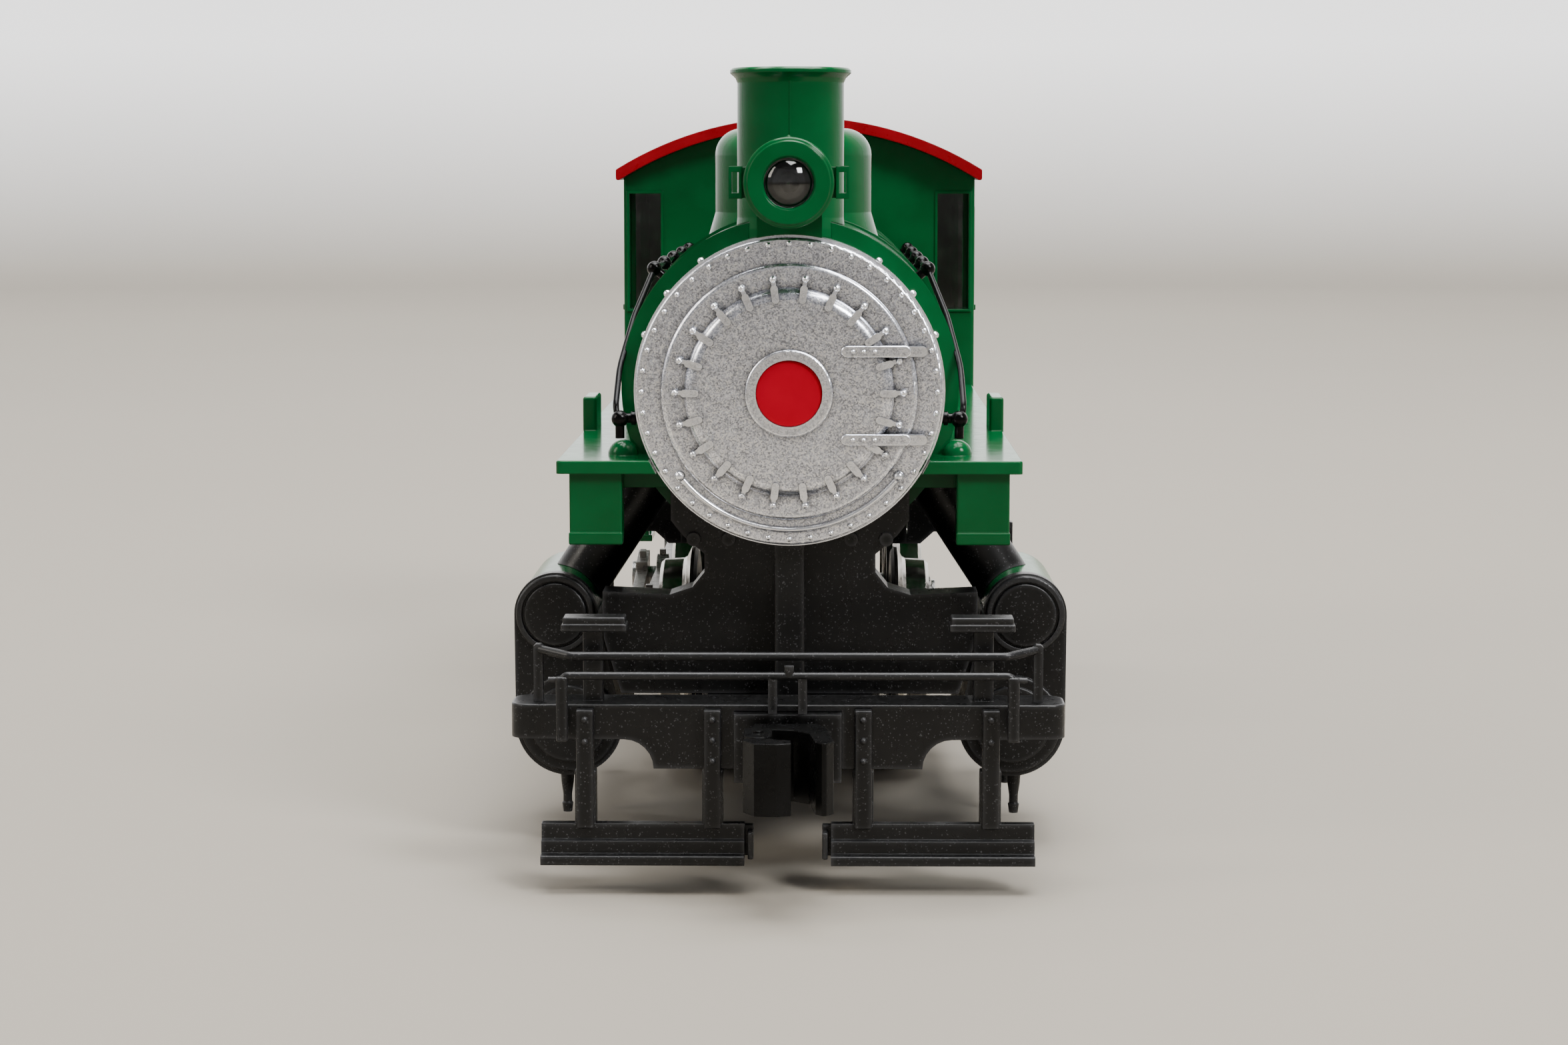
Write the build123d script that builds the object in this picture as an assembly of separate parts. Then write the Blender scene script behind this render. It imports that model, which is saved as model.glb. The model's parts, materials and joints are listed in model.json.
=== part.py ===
"""HO gauge six-coupled steam switching locomotive, every piece its own solid.

Layout axes: X across (+X is the engine's left side), Y back from the footboards' front
edge, Z up from the rail top.  PLACE moves that layout into the part's own frame, whose
origin is under the middle of the engine, level with the bottom of the wheel flanges.
"""
import os
from math import asin, atan2, cos, degrees, pi, radians, sin, sqrt

from build123d import *

# ---- driving dimensions, millimetres ------------------------------------------------
FLANGE_DEPTH = 0.9            # wheel flange below the rail top
NOSE_Y = -7.6                 # front of the coupler
TAIL_Y = 104.4                # rear of the drawbar
PLACE = Pos(0, -(NOSE_Y + TAIL_Y) / 2, FLANGE_DEPTH)

# running gear
TREAD_R = 7.45                # 51 inch driver at 1:87
AXLE_Z = TREAD_R
AXLE_YS = {"front": 42.0, "main": 61.25, "rear": 80.5}
AXLE_R = 1.25
BACK_X = 7.2                  # inside face of each wheel, 14.4 back to back
TYRE_X = (BACK_X, 10.0)
RIM_R = 6.3                   # tyre bore
CRANK_R = 3.6
CRANK_ANGLE = {"left": 180.0, "right": 90.0}   # from +Y towards +Z, quartered
PIN_R = 0.75
RUNNING_GAP = 0.06
SIDE_ROD_X = (10.5, 11.4)
MAIN_ROD_X = (12.1, 13.0)
MAIN_ROD_LENGTH = 26.0
CYLINDER_X = 14.7             # centre of cylinder, piston rod and crosshead
CYLINDER_R = 3.55
CYLINDER_Y = (14.0, 26.5)
CHEST_X = 15.55               # valve chest over the cylinder
CHEST_Z = 14.75
CHEST_R = 2.75
CHEST_FLANGE = 1.0            # length of the chest's front flange
JACKET_R = (2.42, 2.65)       # green jacket round the chest
PISTON_ROD_R = 0.45

# chassis
FRAME_X = (1.9, 5.4)
FRAME_TOP_Z = 17.0
KEEPER_Z = (3.8, 4.6)
SHAFT_Z = 25.35               # motor shaft and worm
IDLER_Z = 17.45
MODULE = 0.4
IDLER_TEETH = 30
AXLE_GEAR_TEETH = 20
WORM_R = 1.9
SHAFT_R = 0.75

# boiler
BOILER_Z = 29.9
BOILER_R = 11.05
BOILER_WALL = 0.9
BOILER_FRONT_Y = 13.2
SMOKEBOX_R = 10.0
FRONT_R = 9.84
FRONT_Y = 8.4                 # face of the smokebox front
STACK_Y = 15.5
STACK_R = 3.5
STACK_TOP_Z = 50.6
STACK_BORE_R = 2.85
LIP_R = 3.97
FOOT_R = 3.56                 # foot of the stack, where it meets the boiler
FOOT_TOP_Z = 40.9
HEADLIGHT_Y = 5.0
HEADLIGHT_Z = 43.2
HEADLIGHT_R = 2.85
LENS_R = 1.53
LENS_RIM = 0.25               # depth of the lens's rim in its socket
LENS_BALL_R = 2.2             # curve of the lens's dome

# running boards and cab
BOARD_Z = (24.65, 25.5)
BOARD_X = 14.95
CAB_Y = (78.0, 98.0)
CAB_X = 15.1
CAB_WALL = 0.9
CAB_FLOOR_Z = (21.5, 22.3)
ROOF_R = 29.6
ROOF_X = 15.6
FRONT_WINDOW_Z = (32.0, 41.9)
SIDE_WINDOW_YS = ((81.2, 86.8), (88.4, 94.0))
SIDE_WINDOW_Z = (32.5, 40.5)
ROOF_TOP_Z = 48.4
ROOF_THICK = 0.9

# pilot
BEAM_Y = (1.6, 5.4)
BEAM_X = 17.35
BEAM_TOP_Z = 10.85
POST_XS = (4.7, 12.65)
POST_HALF = 0.54
FOOTBOARD_X = (2.7, 15.4)
FOOTBOARD_Z = (0.95, 3.4)
TREAD_Z = (15.3, 16.2)        # deck step
COUPLER_PIVOT_Y = 3.6
COUPLER_Z = (5.7, 10.1)
KNUCKLE_PIVOT = (-1.75, -4.0)
DRAWBAR_PIVOT_Y = 94.0
DRAWBAR_EYE_Y = 102.4
DRAWBAR_EYE_R = 1.1


# ---- plain shapes --------------------------------------------------------------------
def block(x, y, z):
    """A box between three (low, high) pairs."""
    sides = (x, y, z)
    middle = [(low + high) / 2 for low, high in sides]
    size = [high - low for low, high in sides]
    return Pos(*middle) * Box(*size)


def soft_block(x, y, z, rounding=0.12):
    """A box between three (low, high) pairs, with every edge rounded."""
    return fillet(block(x, y, z).edges(), rounding)


def soft_bar_y(radius, x, y, z, rounding=0.12):
    """A round bar along Y with a rounded rim at each end."""
    bar = bar_y(radius, x, y, z)
    return fillet(bar.edges().filter_by(GeomType.CIRCLE), rounding)


def bar_x(radius, x, y, z):
    """A round bar along X, between the two values of x."""
    return Pos((x[0] + x[1]) / 2, y, z) * Rot(0, 90, 0) * Cylinder(radius, x[1] - x[0])


def bar_y(radius, x, y, z):
    """A round bar along Y, between the two values of y."""
    return Pos(x, (y[0] + y[1]) / 2, z) * Rot(90, 0, 0) * Cylinder(radius, y[1] - y[0])


def bar_z(radius, x, y, z):
    """A round bar along Z, between the two values of z."""
    return Pos(x, y, (z[0] + z[1]) / 2) * Cylinder(radius, z[1] - z[0])


def plate_x(outline, x):
    """A plate of (y, z) outline, between the two values of x."""
    face = make_face(Polyline(*[(x[0], y, z) for y, z in outline], close=True))
    return extrude(face, amount=x[1] - x[0], dir=(1, 0, 0))


def plate_y(outline, y):
    """A plate of (x, z) outline, between the two values of y."""
    face = make_face(Polyline(*[(x, y[0], z) for x, z in outline], close=True))
    return extrude(face, amount=y[1] - y[0], dir=(0, 1, 0))


def plate_z(outline, z):
    """A plate of (x, y) outline, between the two values of z."""
    face = make_face(Polyline(*[(x, y, z[0]) for x, y in outline], close=True))
    return extrude(face, amount=z[1] - z[0], dir=(0, 0, 1))


def turned_x(profile):
    """A turned piece about the X axis from (x, radius) points."""
    face = make_face(Polyline(*[(x, r, 0) for x, r in profile], close=True))
    return revolve(face, Axis.X, 360)


def turned_y(profile):
    """A turned piece about the Y axis from (radius, y) points."""
    face = make_face(Polyline(*[(r, y, 0) for r, y in profile], close=True))
    return revolve(face, Axis.Y, 360)


def turned_z(profile):
    """A turned piece about the Z axis from (radius, z) points."""
    face = make_face(Polyline(*[(r, 0, z) for r, z in profile], close=True))
    return revolve(face, Axis.Z, 360)


def flip(shape):
    """The same piece on the other side of the engine."""
    return mirror(shape, about=Plane.YZ)


def wire(points, radius, bends):
    """A bent round wire through the points, with a bend radius at each inner point."""
    path = FilletPolyline(*points, radius=bends)
    start = path % 0
    section = Plane(origin=path @ 0, z_dir=start) * Circle(radius)
    return sweep(section, path=path)


def save(name, *pieces):
    """Write the pieces of one node, each as a solid of its own."""
    solids = [PLACE * solid for piece in pieces for solid in piece.solids()]
    export_step(Compound(children=solids), f"parts/{name}.step")


# ---- chassis -------------------------------------------------------------------------
CROSS_SCREWS = [(20.0, 8.2), (50.0, 13.5), (74.0, 13.5), (92.0, 12.0)]
KEEPER_SCREW_YS = (50.9, 71.1)
SCREW_R = 0.8
HEAD_R = 1.45
HEAD_THICK = 0.6
BEARING_HALF = 2.15
BEARING_TOP = 9.6


def frame_side():
    """Left half of the split cast frame, open at the bottom for the axle bearings."""
    outline = [(5.5, 6.6), (5.5, 9.7), (30.0, 9.7), (32.5, 12.5), (33.5, FRAME_TOP_Z)]
    outline += [(55.5, FRAME_TOP_Z), (57.0, 19.4), (65.5, 19.4), (67.0, FRAME_TOP_Z)]
    outline += [(85.0, FRAME_TOP_Z), (86.5, 21.4), (97.0, 21.4), (97.0, 7.0)]
    outline += [(90.0, 7.0), (87.5, KEEPER_Z[1]), (35.0, KEEPER_Z[1]), (33.0, 6.6)]
    frame = plate_x(outline, FRAME_X)
    for y in AXLE_YS.values():
        half = BEARING_HALF + 0.02
        frame -= block(FRAME_X, (y - half, y + half), (KEEPER_Z[1], BEARING_TOP + 0.02))
    for y, z in CROSS_SCREWS:
        frame -= bar_x(SCREW_R + 0.03, FRAME_X, y, z)
    return frame - bar_x(0.9 + RUNNING_GAP, FRAME_X, AXLE_YS["main"], IDLER_Z)


def frame_spacers():
    """Insulating blocks that hold the two frame halves apart."""
    spans = [((7.0, 29.0), (6.8, 9.6)), ((44.5, 54.3), (10.0, 16.8))]
    spans += [((69.5, 78.5), (10.0, 16.8)), ((87.5, 96.5), (8.0, 21.2))]
    spacers = []
    for (y, z), (screw_y, screw_z) in zip(spans, CROSS_SCREWS):
        spacer = block((-FRAME_X[0], FRAME_X[0]), y, z)
        spacers.append(spacer - bar_x(SCREW_R + 0.03, (-2, 2), screw_y, screw_z))
    spacers[3] -= bar_z(SCREW_R + 0.03, 0, DRAWBAR_PIVOT_Y, (8.0, 11.0))
    return spacers


def chassis_screws():
    """Cross screws through the frame, keeper plate screws and the drawbar screw."""
    screws = []
    for y, z in CROSS_SCREWS:
        shank = bar_x(SCREW_R, (-FRAME_X[1], FRAME_X[1]), y, z)
        head = bar_x(HEAD_R, (FRAME_X[1], FRAME_X[1] + HEAD_THICK), y, z)
        slot = block((FRAME_X[1] + 0.35, FRAME_X[1] + 1), (y - 2, y + 2), (z - 0.2, z + 0.2))
        screws.append(shank + (head - slot) + flip(head))
    for y in KEEPER_SCREW_YS:
        head = bar_z(HEAD_R, 0, y, (KEEPER_Z[0] - HEAD_THICK, KEEPER_Z[0]))
        slot = block((-0.2, 0.2), (y - 2, y + 2), (KEEPER_Z[0] - 1, KEEPER_Z[0] - 0.35))
        shank = bar_z(SCREW_R, 0, y, (KEEPER_Z[0], 9.0))
        screws.append((head - slot) + shank)
    head = bar_z(HEAD_R + 0.3, 0, DRAWBAR_PIVOT_Y, (5.5, 6.1))
    slot = block((-0.2, 0.2), (DRAWBAR_PIVOT_Y - 2, DRAWBAR_PIVOT_Y + 2), (5.0, 5.75))
    shank = bar_z(SCREW_R, 0, DRAWBAR_PIVOT_Y, (6.1, 11.0))
    screws.append((head - slot) + shank)
    return screws


def keeper_plate():
    """Bottom cover that keeps the bearings in the frame, slotted for the axle gear."""
    gear_y = AXLE_YS["main"]
    plate = block((-5.2, 5.2), (35.5, 87.0), KEEPER_Z)
    plate -= block((-1.7, 1.7), (gear_y - 5, gear_y + 5), KEEPER_Z)
    for y in KEEPER_SCREW_YS:
        plate -= bar_z(SCREW_R + 0.03, 0, y, KEEPER_Z)
    return plate


def axle_bearings():
    """Six square bearing blocks, one in each frame slot."""
    bearings = []
    for y in AXLE_YS.values():
        span = (y - BEARING_HALF, y + BEARING_HALF)
        bearing = block((2.0, 5.6), span, (KEEPER_Z[1] + 0.02, BEARING_TOP))
        bearing += block((5.4, 6.1), (y - 1.9, y + 1.9), (5.4, 9.4))
        bearing -= bar_x(AXLE_R + 0.05, (1.5, 7), y, AXLE_Z)
        bearings += [bearing, flip(bearing)]
    return bearings


def pickup_strip():
    """Left current pickup: a thin strip with a finger towards each wheel's back."""
    strip = block((5.2, 5.42), (37.0, 86.0), KEEPER_Z)
    for y in AXLE_YS.values():
        start = y + 2.2
        leaf = [(5.3, start), (5.5, start), (7.05, start + 2.6), (7.05, start + 3.3)]
        leaf += [(6.88, start + 3.3), (6.85, start + 2.7)]
        strip += plate_z(leaf, (KEEPER_Z[0] + 0.1, KEEPER_Z[1] - 0.1))
    return strip


# ---- motor and gears -----------------------------------------------------------------
MOTOR_Y = (34.5, 54.0)
MOTOR_HALF_X = 7.4
MOTOR_HALF_Z = 6.0
FLYWHEEL_Y = (67.2, 71.6)


def motor_cradle():
    """Trough on the frame that holds the motor."""
    base = block((-8.2, 8.2), MOTOR_Y, (FRAME_TOP_Z, 24.0))
    return base - block((-MOTOR_HALF_X - 0.05, MOTOR_HALF_X + 0.05), (34, 55), (19.3, 25))


def motor_can():
    """Motor case with a hollow for the armature and a bearing hole at each end."""
    x = (-MOTOR_HALF_X, MOTOR_HALF_X)
    z = (SHAFT_Z - MOTOR_HALF_Z, SHAFT_Z + MOTOR_HALF_Z)
    case = block(x, MOTOR_Y, z)
    case = fillet(case.edges().filter_by(Axis.Y), 2.6)
    case -= bar_y(5.2, 0, (MOTOR_Y[0] + 1.2, MOTOR_Y[1] - 1.2), SHAFT_Z)
    case += bar_y(2.0, 0, (MOTOR_Y[1] - 0.4, MOTOR_Y[1] + 1.0), SHAFT_Z)
    return case - bar_y(SHAFT_R + RUNNING_GAP, 0, (30, 60), SHAFT_Z)


def motor_armature():
    """Motor shaft with its three-pole winding and commutator."""
    shaft = bar_y(SHAFT_R, 0, (33.4, 72.0), SHAFT_Z)
    core = bar_y(1.5, 0, (37.0, 51.8), SHAFT_Z)
    for pole in range(3):
        arm = block((-0.9, 0.9), (38.0, 48.0), (0, 4.2))
        shoe = bar_y(4.6, 0, (38.0, 48.0), 0) & block((-2.6, 2.6), (38, 48), (3.5, 5))
        winding = block((-1.8, 1.8), (37.4, 48.6), (1.6, 3.3))
        core += Pos(0, 0, SHAFT_Z) * Rot(0, 120 * pole, 0) * (arm + shoe + winding)
    return shaft + core


def gear(teeth, x, bore, gap_up):
    """Spur gear about X, with a tooth gap or a tooth straight up."""
    pitch_r = MODULE * teeth / 2
    tip_r = pitch_r + 0.32
    root_r = pitch_r - 0.42
    step = 2 * pi / teeth
    first = pi / 2 + (step / 2 if gap_up else 0)
    outline = []
    for tooth in range(teeth):
        middle = first + tooth * step
        for radius, half in ((root_r, -0.3), (tip_r, -0.14), (tip_r, 0.14), (root_r, 0.3)):
            angle = middle + half / radius
            outline.append((radius * cos(angle), radius * sin(angle)))
    return plate_x(outline, x) - bar_x(bore, x, 0, 0)


def worm():
    """Single-start worm; its thread crosses the idler's top gap in mid length."""
    lead = pi * MODULE
    length = 6.5 * lead
    root_r = WORM_R - 0.42
    path = Helix(pitch=lead, height=length, radius=root_r - 0.05)
    corners = [(-0.05, -0.32), (0.77, -0.14), (0.77, 0.14), (-0.05, 0.32)]
    start = path @ 0
    section = make_face(Polyline(*[(start.X + r, 0, z) for r, z in corners], close=True))
    thread = sweep(section, path=path, is_frenet=True)
    core = Pos(0, 0, length / 2) * Cylinder(root_r, length + 2.0)
    piece = core + thread
    piece -= Pos(0, 0, length / 2) * Cylinder(SHAFT_R + 0.01, length + 4)
    return Pos(0, AXLE_YS["main"], SHAFT_Z) * Rot(-90, 0, 0) * Pos(0, 0, -length / 2) * piece


def flywheel():
    wheel = bar_y(5.3, 0, FLYWHEEL_Y, SHAFT_Z)
    wheel -= bar_y(SHAFT_R + 0.01, 0, (60, 80), SHAFT_Z)
    return chamfer(wheel.edges().filter_by(GeomType.CIRCLE).group_by(SortBy.RADIUS)[-1], 0.5)


def idler_gear():
    """Worm wheel that also drives the axle gear, turning on its own steel shaft."""
    wheel = gear(IDLER_TEETH, (-1.2, 1.2), 0.91, gap_up=True)
    shaft = bar_x(0.9, (-FRAME_X[1], FRAME_X[1]), 0, 0)
    return [Pos(0, AXLE_YS["main"], IDLER_Z) * piece for piece in (wheel, shaft)]


# ---- wheels and rods -----------------------------------------------------------------
SPOKES = 12


def tyre():
    """Metal tyre with a coned tread and an inner flange, for the left side."""
    inner, outer = TYRE_X
    profile = [(inner, RIM_R), (inner, TREAD_R + 0.5), (inner + 0.25, TREAD_R + FLANGE_DEPTH)]
    profile += [(inner + 0.5, TREAD_R + FLANGE_DEPTH), (inner + 0.85, TREAD_R + 0.15)]
    profile += [(inner + 1.1, TREAD_R), (outer - 0.25, TREAD_R - 0.08), (outer, TREAD_R - 0.3)]
    profile += [(outer, RIM_R)]
    return turned_x(profile)


def wheel_centre():
    """Spoked centre with its crank boss towards +Y and its balance weight opposite."""
    rim = bar_x(RIM_R - 0.01, (7.5, 9.6), 0, 0) - bar_x(5.5, (7, 10), 0, 0)
    centre = rim + bar_x(1.75, (7.3, 9.9), 0, 0)
    spoke_line = [(1.2, -0.42), (5.7, -0.3), (5.7, 0.3), (1.2, 0.42)]
    spoke = plate_x(spoke_line, (8.0, 9.2))
    centre += [Rot(360 * (i + 0.5) / SPOKES, 0, 0) * spoke for i in range(SPOKES)]
    centre += bar_x(1.35, (7.9, 10.0), CRANK_R, 0)
    centre += plate_x([(0, -1.5), (CRANK_R, -1.25), (CRANK_R, 1.25), (0, 1.5)], (7.9, 9.7))
    centre += bar_x(5.6, (7.8, 9.5), 0, 0) & block((7, 10), (-6, -2.7), (-4.6, 4.6))
    centre -= bar_x(AXLE_R + 0.01, (7, 10), 0, 0)
    return centre - bar_x(PIN_R + 0.01, (8.6, 10.5), CRANK_R, 0)


def crank_pin(reach):
    """Crank pin along X at +Y, with a washer head whose inner face is at reach."""
    shank = bar_x(PIN_R, (8.6, reach + 0.05), CRANK_R, 0)
    return shank + bar_x(1.15, (reach, reach + 0.3), CRANK_R, 0)


def wheelset(axle):
    """Axle with its pins, two wheel centres and two tyres, one crank per side."""
    place = Pos(0, AXLE_YS[axle], AXLE_Z)
    reach = (MAIN_ROD_X if axle == "main" else SIDE_ROD_X)[1] + 0.1
    left = Rot(CRANK_ANGLE["left"], 0, 0)
    right = Rot(CRANK_ANGLE["right"], 0, 0)
    pins = [left * crank_pin(reach), flip(right * crank_pin(reach))]
    centres = [left * wheel_centre(), flip(right * wheel_centre())]
    shaft = bar_x(AXLE_R, (-9.9, 9.9), 0, 0)
    save(f"{axle}_axle", *[place * piece for piece in [shaft] + pins])
    save(f"{axle}_wheels", *[place * piece for piece in centres])
    save(f"{axle}_tyres", place * tyre(), place * flip(tyre()))


def pin_place(side, axle):
    """Centre (y, z) of one crank pin at rest."""
    angle = radians(CRANK_ANGLE[side])
    return AXLE_YS[axle] + CRANK_R * cos(angle), AXLE_Z + CRANK_R * sin(angle)


def side_rod(side):
    """Coupling rod over the three crank pins of one side, modelled on the left."""
    ends = {axle: pin_place(side, axle) for axle in AXLE_YS}
    z = ends["main"][1]
    face = SIDE_ROD_X[1]
    span = (ends["front"][0], ends["rear"][0])
    rod = block(SIDE_ROD_X, span, (z - 0.8, z + 0.8))
    for near, far in (("front", "main"), ("main", "rear")):
        groove = (ends[near][0] + 2.6, ends[far][0] - 2.6)
        rod -= block((face - 0.22, face + 1), groove, (z - 0.4, z + 0.4))
    for axle, radius in (("front", 1.45), ("main", 1.75), ("rear", 1.45)):
        y = ends[axle][0]
        rod += bar_x(radius, SIDE_ROD_X, y, z)
        rod += block((10.7, 11.2), (y - 0.35, y + 0.35), (z + radius - 0.2, z + radius + 0.4))
    for axle in AXLE_YS:
        rod -= bar_x(PIN_R + RUNNING_GAP, (10, 12), ends[axle][0], z)
    return rod


def crosshead_y(side):
    """Where the main rod puts the crosshead at rest."""
    y, z = pin_place(side, "main")
    return y - sqrt(MAIN_ROD_LENGTH ** 2 - (z - AXLE_Z) ** 2)


def main_rod(side):
    """Connecting rod from the main crank pin to the crosshead, modelled on the left."""
    big_y, big_z = pin_place(side, "main")
    tilt = degrees(asin((big_z - AXLE_Z) / MAIN_ROD_LENGTH))
    length = MAIN_ROD_LENGTH
    taper = [(0, -0.95), (-length, -0.65), (-length, 0.65), (0, 0.95)]
    rod = plate_x(taper, MAIN_ROD_X)
    groove = [(-2.8, -0.42), (-length + 2.2, -0.28), (-length + 2.2, 0.28), (-2.8, 0.42)]
    rod -= plate_x(groove, (MAIN_ROD_X[1] - 0.22, MAIN_ROD_X[1] + 1))
    rod += block(MAIN_ROD_X, (-1.9, 1.9), (-1.6, 1.6))
    rod += bar_x(1.2, MAIN_ROD_X, -length, 0)
    rod += bar_x(0.75, (MAIN_ROD_X[1], MAIN_ROD_X[1] + 0.22), -length, 0)
    rod += block((12.3, 12.8), (-0.4, 0.4), (1.4, 2.1))
    rod -= bar_x(PIN_R + RUNNING_GAP, (11, 14), 0, 0)
    return Pos(0, big_y, big_z) * Rot(tilt, 0, 0) * rod


def crosshead(side):
    """Crosshead with its slippers and piston rod, modelled on the left."""
    y = crosshead_y(side)
    body = block((13.5, 15.6), (y - 1.5, y + 1.5), (AXLE_Z - 1.9, AXLE_Z + 1.9))
    body = chamfer(body.edges().filter_by(Axis.X), 0.5)
    for way in (-1, 1):
        low, high = sorted((AXLE_Z + way * 1.3, AXLE_Z + way * 2.1))
        body += block((13.7, 15.7), (y - 1.7, y + 1.7), (low, high))
    body += bar_x(1.1, (15.5, 15.9), y, AXLE_Z)
    body += bar_y(0.85, CYLINDER_X, (y - 2.3, y - 1.4), AXLE_Z)
    return body + bar_y(PISTON_ROD_R, CYLINDER_X, (y - 15.6, y - 1.4), AXLE_Z)


def crosshead_guide():
    """Two slide bars with the bracket that ties their back ends to the frame."""
    bar_half = 0.7
    guide_y = (CYLINDER_Y[1] + 0.7, 41.4)
    x = (CYLINDER_X - bar_half, CYLINDER_X + bar_half)
    guide = block(x, guide_y, (AXLE_Z + 2.2, AXLE_Z + 3.0))
    guide += block(x, guide_y, (AXLE_Z - 3.0, AXLE_Z - 2.2))
    hanger = [(13.6, 4.0), (16.0, 4.0), (16.3, 11.0), (16.3, 17.8), (8.4, 19.6), (8.4, 16.2)]
    hanger += [(9.4, 16.2), (10.4, 17.1), (13.6, 17.1)]
    guide += plate_y(hanger, (40.7, 41.7)) - block((8, 8.45), (40, 42), (16, 20))
    window = block((14.1, 15.3), (40, 42), (AXLE_Z - 1.9, AXLE_Z + 1.9))
    guide -= window
    return guide + block((FRAME_X[1], 9.0), (40.7, 41.7), (16.2, 16.95))


# ---- cylinders, saddle and steam pipes ------------------------------------------------
def cylinder_block():
    """Left cylinder with the valve chest over it, bored for the piston rod."""
    y = CYLINDER_Y
    web = [(CYLINDER_X + CYLINDER_R, AXLE_Z), (CHEST_X + CHEST_R, CHEST_Z)]
    web += [(CHEST_X - CHEST_R, CHEST_Z), (CYLINDER_X - CYLINDER_R, AXLE_Z)]
    body = plate_y(web, y)
    body += bar_y(CYLINDER_R, CYLINDER_X, y, AXLE_Z)
    body += bar_y(JACKET_R[0] - 0.02, CHEST_X, y, CHEST_Z)
    body += bar_y(CHEST_R, CHEST_X, (y[0], y[0] + CHEST_FLANGE), CHEST_Z)
    for radius, reach in ((CYLINDER_R - 0.3, 0.35), (CYLINDER_R - 1.0, 0.6)):
        body += soft_bar_y(radius, CYLINDER_X, (y[0] - reach, y[1] + reach), AXLE_Z)
    body += soft_bar_y(2.62, CHEST_X, (y[0] - 0.35, y[0] + 0.3), CHEST_Z, 0.17)
    body -= bar_y(2.24, CHEST_X, (y[0] - 1, y[0] - 0.05), CHEST_Z)
    body += soft_bar_y(2.08, CHEST_X, (y[0] - 0.4, y[1] + 0.4), CHEST_Z)
    body += bar_y(0.9, CYLINDER_X, (y[1], y[1] + 1.5), AXLE_Z)
    body += bar_y(0.55, CHEST_X, (y[1], y[1] + 5.0), CHEST_Z)
    for cock_y in (y[0] + 1.2, y[1] - 1.2):
        profile = [(0, 4.6), (0.52, 4.6), (0.42, 3.2), (0.3, 2.4), (0.3, 1.9), (0.38, 1.8)]
        cock = turned_z(profile + [(0.3, 1.2), (0, 1.2)])
        body += Pos(CYLINDER_X + 0.25, cock_y, 0) * cock
    return body - bar_y(PISTON_ROD_R + RUNNING_GAP, CYLINDER_X, (14.6, 30.0), AXLE_Z)


def boiler_space(margin):
    """Everything inside the smokebox and boiler surfaces, grown by margin."""
    smokebox = bar_y(SMOKEBOX_R + margin, 0, (0, BOILER_FRONT_Y), BOILER_Z)
    return smokebox + bar_y(BOILER_R + margin, 0, (BOILER_FRONT_Y, 110), BOILER_Z)


CLEAR_X = 5.6                 # waist of the saddle
WING_TOP_Z = 13.6             # top of the saddle's wings behind their front web


def saddle():
    """Casting between the cylinders that carries the smokebox, with a front rib."""
    half = [(0, 9.75), (11.1, 9.75), (12.3, 13.6), (12.3, 16.5), (7.9, 16.3), (6.4, 16.8)]
    half += [(5.6, 17.8), (5.6, 19.0), (7.0, 20.2), (7.8, 21.2), (7.8, 24.0), (0, 24.0)]
    side = plate_y(half, (12.2, 15.0))
    wing_space = block((CLEAR_X, 20), (15.0, 30), (WING_TOP_Z, 20.2))
    side += plate_y(half, (12.2, CYLINDER_Y[1] + 0.3)) - wing_space
    casting = side + flip(side) + soft_block((-0.95, 0.95), (9.8, 12.8), (9.6, 21.5), 0.15)
    casting -= block((-2, 2), (9, 13), (9, 9.75))
    for x in (6.3, 4.0):
        bolts = [bar_y(0.45, sign * x, (11.8, 12.4), 20.0) for sign in (-1, 1)]
        casting += bolts
    return casting - boiler_space(0.01)


def steam_pipe():
    """Left steam pipe, a stout cover from the smokebox side down to the valve chest."""
    top = (8.9, 24.6)
    foot = (14.9, 15.4)
    run = atan2(foot[0] - top[0], top[1] - foot[1])
    length = sqrt((foot[0] - top[0]) ** 2 + (foot[1] - top[1]) ** 2)
    middle = Pos((top[0] + foot[0]) / 2, 19.8, (top[1] + foot[1]) / 2)
    pipe = middle * Rot(0, -degrees(run), 0) * Cylinder(1.94, length)
    pipe &= block((0, 20), (0, 40), (CHEST_Z + 0.01, 24.05))
    pipe -= bar_y(JACKET_R[1] + 0.01, CHEST_X, (10, 30), CHEST_Z)
    return pipe - boiler_space(0.01)


# ---- pilot ---------------------------------------------------------------------------
def deck_step():
    """Left step over the deck: a flat post under a two-layer tread with cut corners."""
    low, high = TREAD_Z
    middle = low + 0.48
    step = soft_block((11.62, 12.88), (3.0, 3.9), (BEAM_TOP_Z - 0.3, low + 0.3))
    step += soft_block((10.2, 14.1), (2.5, 4.2), (middle - 0.1, high), 0.1)
    return step + soft_block((10.1, 14.2), (2.4, 4.2), (low, middle), 0.1)


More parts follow.
